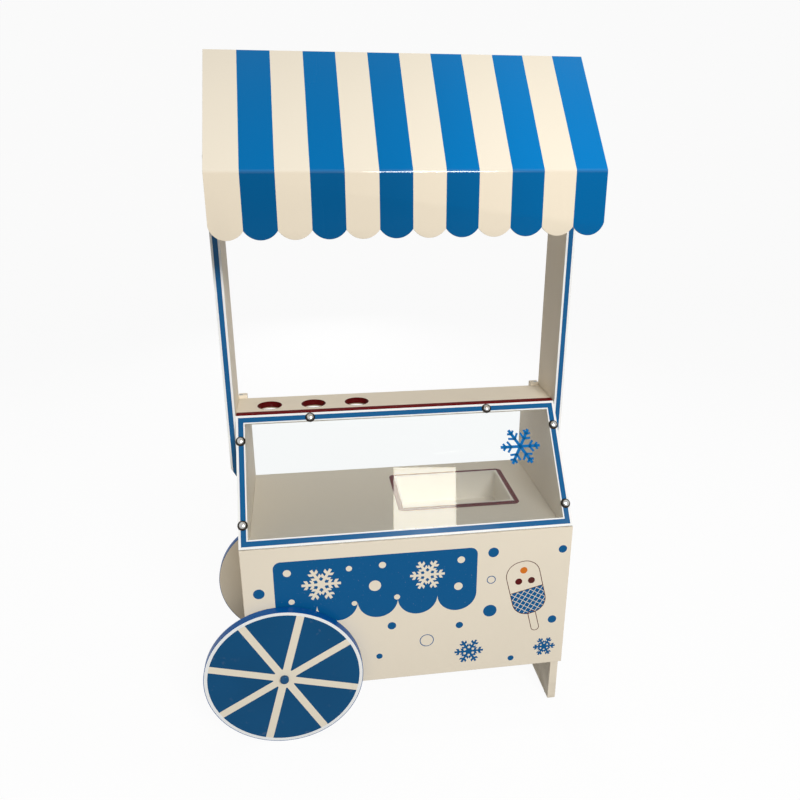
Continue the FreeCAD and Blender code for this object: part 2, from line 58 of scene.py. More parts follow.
# Places shared by the pieces, in metres; the case is the sloped part under the clear sheet
panel_low, panel_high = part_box("front_panel")
body_middle = (panel_low.x + panel_high.x) / 2
case_half = (panel_high.x - panel_low.x) / 2
sheet_foot_setback = 0.004
sheet_top_gap = 0.003
sheet_thickness = 0.003
shelf_setback = 0.160
case_foot = (panel_low.y + sheet_foot_setback, panel_high.z)
case_top = (panel_low.y + shelf_setback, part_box("counter_shelf")[1].z)
case_run = math.hypot(case_top[0] - case_foot[0], case_top[1] - case_foot[1])
case_along = ((case_top[0] - case_foot[0]) / case_run, (case_top[1] - case_foot[1]) / case_run)
case_out = (-case_along[1], case_along[0])
case_length = case_run - sheet_top_gap


# Properties


def screen(red, green, blue):
    """Screen colour of 0 to 255 as the linear colour that shaders take."""
    shares = [channel / 255 for channel in (red, green, blue)]
    return tuple(s / 12.92 if s <= 0.04045 else ((s + 0.055) / 1.055) ** 2.4 for s in shares)


def length(name, description, millimetres):
    return FloatProperty(name=name, description=description, default=millimetres / 1000, unit="LENGTH")


def paint(name, description, red, green, blue):
    return FloatVectorProperty(name=name, description=description, default=screen(red, green, blue),
                               subtype="COLOR", size=3, min=0, max=1)


class KioskSizes(bpy.types.PropertyGroup):
    stripe_count: IntProperty(name="Stripes", description="Stripes across the awning, cream first",
                              default=12)
    spoke_count: IntProperty(name="Spokes", description="Spokes printed on a wheel", default=8)
    spoke_turn: FloatProperty(name="Spoke turn", description="Angle of the first spoke from level",
                              default=math.radians(30), subtype="ANGLE")
    spoke_width: length("Spoke width", "Width of a printed spoke", 14)
    rim_ring: length("Rim ring", "Width of the pale ring at the wheel's rim", 7)
    hub_disc: length("Hub disc", "Radius of the pale disc where the spokes meet", 21)
    tape_outer: length("Tape outer line", "Pale line along the outer edge of the border tape", 4.2)
    tape_stripe: length("Tape stripe", "Blue line of the border tape", 9.4)
    post_stripe: length("Post stripe", "Blue line on a post's front edge", 8.6)
    dome_radius: length("Dome radius", "Radius of a chrome dome screw", 9.5)
    dome_height: length("Dome height", "Height of a chrome dome screw", 6.5)
    flake_radius: length("Snowflake radius", "Reach of the snowflake sticker on the clear sheet", 38)


class KioskColours(bpy.types.PropertyGroup):
    cream: paint("Cream laminate", "Face of the laminated boards", 238, 227, 207)
    awning_cream: paint("Awning cream", "Pale stripes of the awning", 242, 232, 213)
    awning_blue: paint("Awning blue", "Blue stripes of the awning", 0, 123, 195)
    print_blue: paint("Print blue", "Blue of the front print", 4, 88, 142)
    wheel_blue: paint("Wheel blue", "Blue between the spokes", 6, 78, 124)
    band_blue: paint("Band blue", "Blue edge band of the wheels", 2, 84, 154)
    sticker_blue: paint("Sticker blue", "Snowflake sticker on the clear sheet", 8, 110, 178)
    tape_blue: paint("Tape blue", "Blue line of the border tape and posts", 4, 92, 146)
    tape_white: paint("Tape white", "White lines of the border tape and posts", 244, 245, 244)
    pale_print: paint("Pale print", "Pale spokes of the wheels", 238, 228, 208)
    dark_red: paint("Dark red", "Trim of the cone holes, the shelf and the tub", 88, 9, 11)
    line_red: paint("Line red", "Dark red line of the shelf and the tub's frame", 104, 5, 9)
    line_brown: paint("Print line", "Thin dark lines of the front print", 84, 34, 30)
    orange: paint("Orange dot", "Orange dot of the front print", 214, 118, 36)
    tub_white: paint("Tub white", "Moulded white of the tub", 247, 240, 226)
    chip: paint("Chipboard", "Raw core of the boards where it shows", 176, 142, 98)


class StageLook(bpy.types.PropertyGroup):
    world_light: FloatProperty(name="World light", description="Strength of the even light from all sides",
                               default=0.32, min=0)
    key_power: FloatProperty(name="Key lamp", description="Power of the large lamp in front on the right",
                             default=132, min=0, unit="POWER")
    fill_power: FloatProperty(name="Fill lamps", default=20, min=0, unit="POWER",
                              description="Power of the lamp behind; those beside have a share of it")
    glare_power: FloatProperty(name="Glare lamp", default=2.6, min=0, unit="POWER",
                               description="Power of the small lamp that the clear sheet mirrors")


# Shader arithmetic


class Wire:
    """A shader socket that takes part in plain arithmetic; each operation adds a Math node."""

    def __init__(self, finish, socket):
        self.finish, self.socket = finish, socket

    def math(self, operation, *values):
        return self.finish.node("ShaderNodeMath", {"operation": operation}, dict(enumerate(values)))

    def __add__(self, other):
        return self.math("ADD", self, other)

    def __sub__(self, other):
        return self.math("SUBTRACT", self, other)

    def __rsub__(self, other):
        return self.math("SUBTRACT", other, self)

    def __mul__(self, other):
        return self.math("MULTIPLY", self, other)

    def __truediv__(self, other):
        return self.math("DIVIDE", self, other)

    def __mod__(self, other):
        return self.math("FLOORED_MODULO", self, other)

    def __abs__(self):
        return self.math("ABSOLUTE", self)

    def __lt__(self, other):
        return self.math("LESS_THAN", self, other)

    def __gt__(self, other):
        return self.math("GREATER_THAN", self, other)

    def __and__(self, other):
        return self.math("MINIMUM", self, other)

    def __or__(self, other):
        return self.math("MAXIMUM", self, other)

    __radd__, __rmul__ = __add__, __mul__


class Finish:
    """One node material. node() makes every node of it and hands back its output as a Wire."""

    def __init__(self, name, world=False):
        self.material = (bpy.data.worlds if world else bpy.data.materials).new(name)
        self.ending = "ShaderNodeOutputWorld" if world else "ShaderNodeOutputMaterial"
        self.material.use_nodes = True
        self.tree = self.material.node_tree
        self.tree.nodes.clear()

    def node(self, kind, settings=None, values=None, output=0):
        made = self.tree.nodes.new(kind)
        for key, value in (settings or {}).items():
            setattr(made, key, value)
        for key, value in (values or {}).items():
            if isinstance(value, Wire):
                self.tree.links.new(value.socket, made.inputs[key])
            elif made.inputs[key].type == "RGBA":
                made.inputs[key].default_value = (*value, 1)
            else:
                made.inputs[key].default_value = value
        return Wire(self, made.outputs[output]) if made.outputs else None

    def spot(self):
        return self.node("ShaderNodeTexCoord", output="Object")

    def place(self):
        """The x, y and z of a point, in metres."""
        split = self.node("ShaderNodeSeparateXYZ", None, {"Vector": self.spot()}).socket.node
        return [Wire(self, socket) for socket in split.outputs]

    def facing(self):
        """The x, y and z of the surface's own normal."""
        normal = self.node("ShaderNodeTexCoord", output="Normal")
        split = self.node("ShaderNodeSeparateXYZ", None, {"Vector": normal}).socket.node
        return [Wire(self, socket) for socket in split.outputs]

    def mix(self, share, first, second):
        """The first colour where share is 0 and the second where it is 1."""
        return self.node("ShaderNodeMix", {"data_type": "RGBA"}, {0: share, 6: first, 7: second}, 2)

    def tint(self, share, colour, by):
        """The colour multiplied by another one where share is 1."""
        return self.node("ShaderNodeMix", {"data_type": "RGBA", "blend_type": "MULTIPLY"},
                         {0: share, 6: colour, 7: by}, 2)

    def rise(self, value, low, high):
        """0 up to low, 1 from high on, with a smooth step between."""
        return self.node("ShaderNodeMapRange", {"interpolation_type": "SMOOTHSTEP"},
                         {"Value": value, "From Min": low, "From Max": high})

    def noise(self, scale, detail=2.0, stretch=(1, 1, 1)):
        spot = self.node("ShaderNodeMapping", None, {"Vector": self.spot(), "Scale": stretch})
        return self.node("ShaderNodeTexNoise", None, {"Vector": spot, "Scale": scale, "Detail": detail})

    def principled(self, colour, roughness, relief=None, depth=0.0001, shine=None):
        values = {"Base Color": colour, "Roughness": roughness}
        values.update(shine or {})
        if relief is not None:
            values["Normal"] = self.node("ShaderNodeBump", None, {"Height": relief, "Distance": depth})
        return self.node("ShaderNodeBsdfPrincipled", None, values)

    def close(self, shader):
        self.node(self.ending, None, {"Surface": shader})
        return self.material

    def surface(self, *args, **kinds):
        """Ends the material in one Principled surface and returns the material."""
        return self.close(self.principled(*args, **kinds))


# Shapes drawn by shaders


def disc(u, v, across, up, radius):
    """Mask of a disc about a place."""
    du, dv = u - across, v - up
    return (du * du + dv * dv) < radius * radius


def union(masks):
    """One mask of several, 1 wherever any of them is."""
    first, *others = masks
    for mask in others:
        first = first | mask
    return first


def ring(u, v, across, up, radius, line):
    """Mask of a disc's outer line."""
    return disc(u, v, across, up, radius) - disc(u, v, across, up, radius - line)


def turned(u, v, across, up, degrees):
    """Places on a motif's own upright axes, counted from its middle."""
    cosine, sine = math.cos(math.radians(degrees)), math.sin(math.radians(degrees))
    du, dv = u - across, v - up
    return du * cosine + dv * sine, dv * cosine - du * sine


def plate(u, v, half_width, half_height, corner):
    """Mask of a rectangle about the middle with round corners."""
    du = (abs(u) - (half_width - corner)) | 0.0
    dv = (abs(v) - (half_height - corner)) | 0.0
    return (du * du + dv * dv) < corner * corner


def flake(u, v, across, up, reach, line):
    """Mask of a plain six-armed snowflake."""
    du, dv = u - across, v - up
    far = du.math("SQRT", du * du + dv * dv)
    angle = du.math("ARCTAN2", dv, du)
    sixth = math.radians(60)
    twig_starts, twig_reach, heart = (0.36, 0.66), 0.26, 1.5
    fold = abs((angle + sixth / 2) % sixth - sixth / 2)
    along, beside = far * far.math("COSINE", fold), far * far.math("SINE", fold)
    shape = (beside < line / 2) & (along < reach)
    for start in twig_starts:
        twig = abs(beside - (along - reach * start) * math.tan(sixth)) < line
        shape = shape | (twig & (beside < reach * twig_reach) & (along > reach * start))
    return shape | (far < line * heart)


# Finishes


BOARD_GLOSS = 0.16
FILM_GLOSS = 0.3


def dim(colour, share):
    """The colour with a share of its brightness."""
    return [channel * share for channel in colour]


def worn_edges(finish, node, colour, core):
    """The colour with the core showing here and there along the edges of a board's own box."""
    edge_width = 0.0016
    low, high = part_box(node)
    a, b, c = [(value - low[i]) & (high[i] - value) for i, value in enumerate(finish.place())]
    second_nearest = (a & b) | ((a | b) & c)
    edge = 1 - finish.rise(second_nearest, 0.0, edge_width)
    worn = edge * finish.rise(finish.noise(70.0, 3.0), 0.40, 0.62)
    return finish.mix(worn * 0.35, colour, core)


def laminate(finish, base):
    """Colour, roughness and relief of satin laminate with light handling marks."""
    cloud = finish.noise(3.2, 3.0)
    grain = finish.noise(520.0, 1.0)
    rub = finish.rise(finish.noise(26.0, 4.0, (1, 1, 0.18)), 0.60, 0.74)
    colour = finish.mix(finish.rise(cloud, 0.35, 0.75) * 0.35, base, dim(base, 0.90))
    colour = finish.mix(rub * 0.06, colour, dim(base, 0.76))
    roughness = 0.40 + cloud * 0.10 + rub * 0.12
    return colour, roughness, grain


def cream_board(node, colours):
    """Cream laminate of one board, with worn edges and grime near the floor."""
    finish = Finish("cream_board_" + node)
    grime_height, grime_colour = 0.07, (0.25, 0.21, 0.16)
    colour, roughness, grain = laminate(finish, colours.cream)
    colour = worn_edges(finish, node, colour, colours.chip)
    height = finish.place()[2]
    grime = (1 - finish.rise(height, 0.0, grime_height)) * finish.rise(finish.noise(30.0, 4.0), 0.35, 0.7)
    colour = finish.mix(grime * 0.30, colour, grime_colour)
    return finish.surface(colour, roughness + grime * 0.2, relief=grain, depth=0.00004,
                          shine={"Specular IOR Level": BOARD_GLOSS})


# The front print's motifs, in metres across from the body's middle and up from the floor:
# a disc has its middle and radius, a ring and a snowflake also the width of their lines
BANNER_FLAKES = ((-0.162, 0.328, 0.035, 0.0052), (0.030, 0.330, 0.032, 0.0048))
BANNER_DISCS = ((-0.221, 0.356, 0.007), (-0.112, 0.356, 0.0055), (-0.066, 0.316, 0.011),
                (-0.052, 0.358, 0.0065), (0.092, 0.356, 0.007), (-0.216, 0.296, 0.0055),
                (-0.026, 0.288, 0.0055), (0.088, 0.300, 0.008), (-0.104, 0.282, 0.005))
PANEL_DISCS = ((0.152, 0.366, 0.010), (0.284, 0.362, 0.008), (0.150, 0.240, 0.013),
               (-0.272, 0.318, 0.010), (-0.036, 0.226, 0.008), (0.092, 0.214, 0.007),
               (0.274, 0.208, 0.0085), (-0.060, 0.160, 0.006), (0.196, 0.126, 0.006))
PANEL_FLAKES = ((0.112, 0.152, 0.028, 0.0044), (0.262, 0.146, 0.022, 0.0040))
PANEL_RINGS = ((0.030, 0.186, 0.0135, 0.0016), (0.150, 0.308, 0.0085, 0.0016))


def banner(u, v):
    """Mask of the blue field: round corners, a scalloped lower edge, pale flakes and discs left out."""
    left, right, top, foot = -0.245, 0.1225, 0.379, 0.285
    corner, overlap = 0.014, 0.0005
    scallop = 0.0735
    strip_middle, strip_half = foot + 0.010, 0.012
    middle, half = (left + right) / 2, (right - left) / 2
    within = abs(u - middle) < half
    body = plate(u - middle, v - (top + foot) / 2, half, (top - foot) / 2 + overlap, corner)
    bay = (u - left) % scallop - scallop / 2
    swag = ((bay * bay + (v - foot) * (v - foot)) < (scallop / 2) ** 2) & within
    strip = within & (abs(v - strip_middle) < strip_half)
    pale = union([flake(u, v, *motif) for motif in BANNER_FLAKES]
                 + [disc(u, v, *motif) for motif in BANNER_DISCS])
    return (body | swag | strip) & (1 - pale)


def lolly(u, v):
    """Masks of the ice lolly: its blue woven half, its thin lines, and its red, brown and orange dots."""
    a, b = turned(u, v, 0.218, 0.284, 14)
    line, half_width, half_height, corner = 0.0014, 0.0315, 0.058, 0.029
    stick_drop, stick_half, stick_length, stick_corner = 0.077, 0.0068, 0.0225, 0.0066
    weave_pitch, weave_gap, seam = 0.0125, 0.0016, 0.004
    ice = plate(a, b, half_width, half_height, corner)
    rim = plate(a, b, half_width + line, half_height + line, corner + line) - ice
    stick = plate(a, b + stick_drop, stick_half, stick_length, stick_corner) - ice
    around = plate(a, b + stick_drop, stick_half + line, stick_length + line, stick_corner + line)
    weave = ((a + b) % weave_pitch < weave_gap) | ((a - b) % weave_pitch < weave_gap)
    blue = ice & (b < -seam) & (1 - weave)
    lines = rim | (around - stick - ice) | ((abs(b + seam) < line / 2) & ice)
    return (blue, lines, disc(a, b, -0.011, 0.018, 0.0068), disc(a, b, 0.013, 0.013, 0.0068),
            disc(a, b, 0.003, 0.039, 0.0070))


def printed_front(colours):
    """Cream front panel with its printed banner, lolly, snowflakes and dots."""
    finish = Finish("printed_front_panel")
    colour, roughness, grain = laminate(finish, colours.cream)
    x, y, z = finish.place()
    u, v = x - body_middle, z
    woven, lines, red, brown, orange = lolly(u, v)
    blue = union([banner(u, v), woven] + [disc(u, v, *motif) for motif in PANEL_DISCS]
                 + [flake(u, v, *motif) for motif in PANEL_FLAKES]
                 + [ring(u, v, *motif) for motif in PANEL_RINGS])
    front = 1 - finish.rise(y, panel_low.y + 0.0002, panel_low.y + 0.0007)
    worn = 1 - finish.rise(finish.noise(260.0, 3.0), 0.66, 0.74) * 0.10
    for mask, ink in ((blue * worn, colours.print_blue), (lines * worn, colours.line_brown),
                      (red, colours.dark_red), (brown, colours.line_brown), (orange, colours.orange)):
        colour = finish.mix(mask * front, colour, ink)
    colour = worn_edges(finish, "front_panel", colour, colours.chip)
    inked = (blue | lines) * front
    return finish.surface(colour, roughness - inked * 0.08, relief=grain + inked * 0.6, depth=0.00005,
                          shine={"Specular IOR Level": BOARD_GLOSS})


def awning_sheet_finish(colours, sizes):
    """Glossy sheet with printed stripes on its outer side and plain cream below, with painted shade on the
    upright valance and painted light towards the right end.
    """
    finish = Finish("striped_awning")
    valance_shade_cream, valance_shade_blue = (0.95, 0.92, 0.88), (0.62, 0.62, 0.62)
    outward = (-0.72, 0.69)
    x = finish.place()[0]
    low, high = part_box("awning_sheet")
    pitch = (high.x - low.x) / sizes.stripe_count
    waver = (finish.noise(9.0, 2.0) - 0.5) * 0.0006
    stripe = (((x - low.x + waver) / pitch) % 2.0) > 1.0
    tone = finish.rise(finish.noise(2.4, 3.0), 0.3, 0.75)
    # Painted light: both stripe colours grow brighter from the fifth stripe on towards the right end
    painted_light_right = finish.rise(x, low.x + pitch * 4, high.x)
    cream = finish.mix(tone * 0.25 + painted_light_right, dim(colours.awning_cream, 0.95), colours.awning_cream)
    blue = finish.mix(tone * 0.15 + painted_light_right, dim(colours.awning_blue, 0.74), colours.awning_blue)
    ny, nz = finish.facing()[1:]
    # Painted shade: upright faces, the valance, are tinted darker than the slope, the blue stripes much
    # more than the cream ones
    upright = 1 - finish.rise(nz, 0.1, 0.6)
    cream = finish.tint(upright, cream, valance_shade_cream)
    blue = finish.tint(upright, blue, valance_shade_blue)
    outer = finish.rise(ny * outward[0] + nz * outward[1], 0.05, 0.15)
    bend = finish.rise(nz, 0.05, 0.2) * (1 - finish.rise(nz, 0.5, 0.66)) * outer
    smear = finish.rise(finish.noise(14.0, 4.0, (1, 0.25, 0.25)), 0.52, 0.70)
    return finish.surface(finish.mix(stripe * outer, cream, blue), 0.19 + smear * 0.09,
                          relief=finish.noise(160.0, 2.0), depth=0.00002,
                          shine={"Specular IOR Level": 0.08, "Coat Weight": bend, "Coat Roughness": 0.12})


def wheel_finish(node, colours, sizes, printed_side):
    """Disc with printed spokes on its outer face and plain cream on the inner one."""
    finish = Finish(node + "_print")
    colour, roughness, grain = laminate(finish, colours.cream)
    low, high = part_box(node)
    centre, reach = (low + high) / 2, (high.x - low.x) / 2
    band_thickness, print_depth = 0.001, 0.0006
    x, y, z = finish.place()
    du, dv = x - centre.x, z - centre.z
    far = du.math("SQRT", du * du + dv * dv)
    turn = 2 * math.pi / sizes.spoke_count
    fold = (du.math("ARCTAN2", dv, du) - sizes.spoke_turn + turn / 2) % turn - turn / 2
    beside = abs(far * far.math("SINE", fold))
    pale = (beside < sizes.spoke_width / 2) | (far < sizes.hub_disc)
    rim = far > reach + band_thickness - sizes.rim_ring
    shade = finish.rise(finish.noise(6.0, 3.0), 0.35, 0.7)
    blue = finish.mix(shade * 0.4, colours.wheel_blue, dim(colours.wheel_blue, 0.78))
    ink = finish.mix(rim, finish.mix(pale, blue, colours.pale_print), colours.tape_white)
    scuff = finish.rise(finish.noise(60.0, 5.0), 0.60, 0.70) * finish.rise(far, reach * 0.55, reach)
    ink = finish.mix(scuff * 0.10, ink, (0.45, 0.42, 0.38))
    on_face = abs(y - (low.y if printed_side < 0 else high.y)) < print_depth
    return finish.surface(finish.mix(on_face, colour, ink), roughness - on_face * 0.06 + scuff * 0.1,
                          relief=grain, depth=0.00004, shine={"Specular IOR Level": BOARD_GLOSS})


def satin_plastic(name, base, roughness=0.4, scale=90.0, gloss=FILM_GLOSS):
    """Moulded or banded plastic with a soft mottle and fine texture."""
    finish = Finish(name)
    tone = finish.noise(scale / 12, 3.0)
    fine = finish.noise(scale * 8, 2.0)
    scuff = finish.rise(finish.noise(scale, 5.0), 0.60, 0.74)
    colour = finish.mix(tone * 0.25, base, dim(base, 0.82))
    colour = finish.mix(scuff * 0.12, colour, [channel * 0.6 + 0.12 for channel in base])
    return finish.surface(colour, roughness + scuff * 0.15, relief=fine, depth=0.00003,
                          shine={"Specular IOR Level": gloss})


def tub_finish(colours):
    """Moulded white plastic with the frame's dark red on the outer edge of its flange."""
    finish = Finish("tub_plastic")
    low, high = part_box("ice_tub")
    x, y, z = finish.place()
    painted_width, flange_reach = 0.0022, 0.004
    gap = (x - low.x) & (high.x - x) & (y - low.y) & (high.y - y)
    painted = (gap < painted_width) & (z > high.z - flange_reach)
    tone = finish.noise(5.0, 3.0)
    scuff = finish.rise(finish.noise(60.0, 5.0), 0.60, 0.74)
    white = finish.mix(tone * 0.15 + scuff * 0.08, colours.tub_white, dim(colours.tub_white, 0.72))
    return finish.surface(finish.mix(painted, white, colours.line_red), 0.34 + scuff * 0.15,
                          relief=finish.noise(480.0, 2.0), depth=0.00003,
                          shine={"Specular IOR Level": FILM_GLOSS})


def metal(name, base, roughness, brushed=(1, 1, 1)):
    """Bare or plated metal with fine lines along its turning."""
    finish = Finish(name)
    lines = finish.noise(900.0, 2.0, brushed)
    blur = finish.noise(35.0, 3.0)
    colour = finish.mix(blur * 0.3, base, dim(base, 0.8))
    return finish.surface(colour, roughness + blur * roughness * 0.5, relief=lines, depth=0.00001,
                          shine={"Metallic": 1.0})


def dome_chrome():
    """Bright plating of a dome screw, with a painted reflection: bright on its crown and dark from half way
    down to its rim.
    """
    finish = Finish("dome_chrome")
    ny, nz = finish.facing()[1:]
    crown = ny * case_out[0] + nz * case_out[1]
    spots = finish.noise(420.0, 2.0)
    # Painted reflection: a dark room mirrored on the lower half of the dome, bright plating on its crown
    painted_reflection = finish.rise(crown + spots * 0.16, 0.84, 0.98)
    colour = finish.mix(painted_reflection, screen(64, 58, 52), screen(250, 250, 247))
    return finish.surface(colour, 0.05 + spots * 0.04, relief=finish.noise(900.0, 2.0), depth=0.00001,
                          shine={"Metallic": 1.0})


def beech():
    """Pale wood with fine rays along the dowels."""
    finish = Finish("beech_dowel")
    rays = finish.rise(finish.noise(60.0, 4.0, (6, 0.5, 6)), 0.4, 0.65)
    colour = finish.mix(rays, screen(214, 178, 132), screen(184, 140, 92))
    return finish.surface(colour, 0.6 + rays * 0.1, relief=rays, depth=0.0001)


def clear_sheet():
    """Cast clear sheet: mirrors a little, shows all behind it and lets the lamps through."""
    finish = Finish("clear_sheet")
    haze = finish.rise(finish.noise(7.0, 4.0), 0.45, 0.8)
    hairlines = finish.rise(finish.noise(320.0, 1.0, (0.04, 1, 1)), 0.70, 0.76)
    glass = finish.principled((0.965, 0.985, 0.985), 0.012 + haze * 0.03 + hairlines * 0.10,
                              shine={"Transmission Weight": 1.0, "IOR": 1.49})
    through = finish.node("ShaderNodeBsdfTransparent", None, {"Color": (0.72, 0.73, 0.74)})
    path = finish.node("ShaderNodeLightPath").socket.node
    lighting = Wire(finish, path.outputs["Is Shadow Ray"]) | Wire(finish, path.outputs["Is Diffuse Ray"])
    return finish.close(finish.node("ShaderNodeMixShader", None, {0: lighting, 1: glass, 2: through}))


def lined_tape(finish, colours, blue, mottle, roughness):
    """White tape with a blue line where the mask says, both slightly mottled."""
    tone = finish.rise(finish.noise(mottle, 3.0), 0.35, 0.7)
    pale = finish.mix(tone * 0.3, colours.tape_white, dim(colours.tape_white, 0.90))
    ink = finish.mix(tone * 0.4, colours.tape_blue, dim(colours.tape_blue, 0.8))
    return finish.surface(finish.mix(blue, pale, ink), roughness + tone * 0.08,
                          relief=finish.noise(400.0, 2.0), depth=0.00002,
                          shine={"Specular IOR Level": FILM_GLOSS})


def border_tape_finish(colours, sizes):
    """Tape with its line counted from the sheet's nearest edge."""
    finish = Finish("border_tape")
    x, y, z = finish.place()
    side = case_half - abs(x - body_middle)
    run = (y - case_foot[0]) * case_along[0] + (z - case_foot[1]) * case_along[1]
    gap = side & run & (case_length - run)
    blue = (gap > sizes.tape_outer) & (gap < sizes.tape_outer + sizes.tape_stripe)
    return lined_tape(finish, colours, blue, 18.0, 0.16)


def post_band_finish(colours, sizes):
    """Edge band with its line along the middle of each post's front."""
    finish = Finish("post_band")
    low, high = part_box("right_post")
    offset = (low.x + high.x) / 2 - body_middle
    blue = abs(abs(finish.place()[0] - body_middle) - offset) < sizes.post_stripe / 2
    return lined_tape(finish, colours, blue, 12.0, 0.22)


# Modelling helpers


def on_case(across, run, lift):
    """A point over the sloped front: across from the body's middle, up the slope, off the boards."""
    return Vector((across + body_middle, case_foot[0] + run * case_along[0] + lift * case_out[0],
                   case_foot[1] + run * case_along[1] + lift * case_out[1]))


def dress(material, *nodes):
    """Gives CAD nodes their finish; their meshes stay as packed."""
    for name in nodes:
        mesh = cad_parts[name].data
        mesh.materials.clear()
        mesh.materials.append(material)


def release():
    """Leaves edit mode and deselects everything, so that an operator acts on its own piece alone."""
    if bpy.context.object and bpy.context.object.mode == "EDIT":
        bpy.ops.object.mode_set(mode="OBJECT")
    bpy.ops.object.select_all(action="DESELECT")


def focus(piece):
    """Makes a piece the only one that operators act on."""
    release()
    piece.select_set(True)
    bpy.context.view_layer.objects.active = piece


def settle(piece, material, body=STATIC_BODY, smooth=35):
    """Puts a finished piece's place into its mesh, shades it and hands it to its body."""
    focus(piece)
    bpy.ops.object.transform_apply(location=True, rotation=True, scale=True)
    bpy.ops.object.shade_smooth_by_angle(angle=math.radians(smooth))
    piece.data.materials.clear()
    piece.data.materials.append(material)
    release()
    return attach(piece, body)


def merged_copy(node, name):
    """An editable copy of a CAD node with its loose triangles joined and flat faces whole."""
    same_point, same_plane = 0.000005, math.radians(0.4)
    piece = bpy.data.objects.new(name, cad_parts[node].data.copy())
    bpy.context.scene.collection.objects.link(piece)
    focus(piece)
    if piece.data.has_custom_normals:
        bpy.ops.mesh.customdata_custom_splitnormals_clear()
    bpy.ops.object.mode_set(mode="EDIT")
    bpy.ops.mesh.select_all(action="SELECT")
    bpy.ops.mesh.remove_doubles(threshold=same_point)
    bpy.ops.mesh.dissolve_limited(angle_limit=same_plane)
    bpy.ops.mesh.normals_make_consistent(inside=False)
    bpy.ops.object.mode_set(mode="OBJECT")
    return piece


def soften(piece, width, segments=2, sharpness=40):
    """Rounds the sharp edges of a piece in edit mode."""
    focus(piece)
    bpy.ops.object.mode_set(mode="EDIT")
    bpy.ops.mesh.select_mode(type="EDGE")
    bpy.ops.mesh.select_all(action="DESELECT")
    bpy.ops.mesh.edges_select_sharp(sharpness=math.radians(sharpness))
    bpy.ops.mesh.bevel(offset=width, segments=segments, affect="EDGES", clamp_overlap=True)
    bpy.ops.object.mode_set(mode="OBJECT")


def pick_edges(piece, wanted):
    """In edit mode, selects only the edges whose two ends are wanted."""
    bpy.ops.mesh.select_mode(type="EDGE")
    bpy.ops.mesh.select_all(action="DESELECT")
    shape = bmesh.from_edit_mesh(piece.data)
    for edge in shape.edges:
        if all(wanted(end.co) for end in edge.verts):
            edge.select_set(True)
    bmesh.update_edit_mesh(piece.data)


def ready(context):
    """The settings that the piece operators read."""
    return context.scene.kiosk_sizes, context.scene.kiosk_colours


# Operators


class KIOSK_OT_boards(bpy.types.Operator):
    """Finish every cream laminated board and the printed front panel"""

    bl_idname = "kiosk.boards"
    bl_label = "Boards"

    def execute(self, context):
        sizes, colours = ready(context)
        for node in ("right_side_panel", "left_side_panel", "bottom_board", "case_floor", "rear_rail",
                     "counter_shelf", "corner_blocks", "right_post", "left_post", "right_awning_arm",
                     "left_awning_arm", "ridge_rail", "valance_batten", "head_rail"):
            dress(cream_board(node, colours), node)
        dress(printed_front(colours), "front_panel")
        dress(post_band_finish(colours, sizes), "post_bands")
        return {"FINISHED"}


class KIOSK_OT_awning(bpy.types.Operator):
    """Shape the awning sheet with softened edges and print its stripes"""

    bl_idname = "kiosk.awning"
    bl_label = "Awning"

    def execute(self, context):
        sizes, colours = ready(context)
        awning = merged_copy("awning_sheet", "striped_awning")
        soften(awning, width=0.0006)
        settle(awning, awning_sheet_finish(colours, sizes), smooth=25)
        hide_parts("awning_sheet")
        dress(satin_plastic("foam_tape", screen(214, 208, 196), 0.8, 300.0), "awning_tape")
        return {"FINISHED"}


class KIOSK_OT_wheels(bpy.types.Operator):
    """Print the wheels and finish their bands, caps, axle and bushings"""

    bl_idname = "kiosk.wheels"
    bl_label = "Wheels"

    def execute(self, context):
        sizes, colours = ready(context)
        dress(wheel_finish("front_wheel", colours, sizes, -1), "front_wheel")
        dress(wheel_finish("back_wheel", colours, sizes, 1), "back_wheel")
        dress(satin_plastic("blue_edge_band", colours.band_blue, 0.30, gloss=0.15),
              "front_wheel_band", "back_wheel_band")
        dress(satin_plastic("blue_cap", colours.wheel_blue, 0.28), "front_hub_cap", "back_hub_cap")
        dress(metal("axle_steel", screen(176, 178, 182), 0.28, (0.02, 1, 1)), "axle")
        dress(satin_plastic("bushing_nylon", screen(222, 216, 202), 0.45), "axle_bushings")
        return {"FINISHED"}


class KIOSK_OT_counter(bpy.types.Operator):
    """Finish the dark red trim, the tub, its frame and the cone hole liners"""

    bl_idname = "kiosk.counter"
    bl_label = "Counter and tub"

    def execute(self, context):
        colours = context.scene.kiosk_colours
        dress(satin_plastic("dark_red_liner", colours.dark_red, 0.45, gloss=0.1), "cone_hole_liners")
        dress(satin_plastic("dark_red_line", colours.line_red, 0.5, gloss=0.05),
              "shelf_trim", "recess_trim")
        dress(tub_finish(colours), "ice_tub")
        return {"FINISHED"}


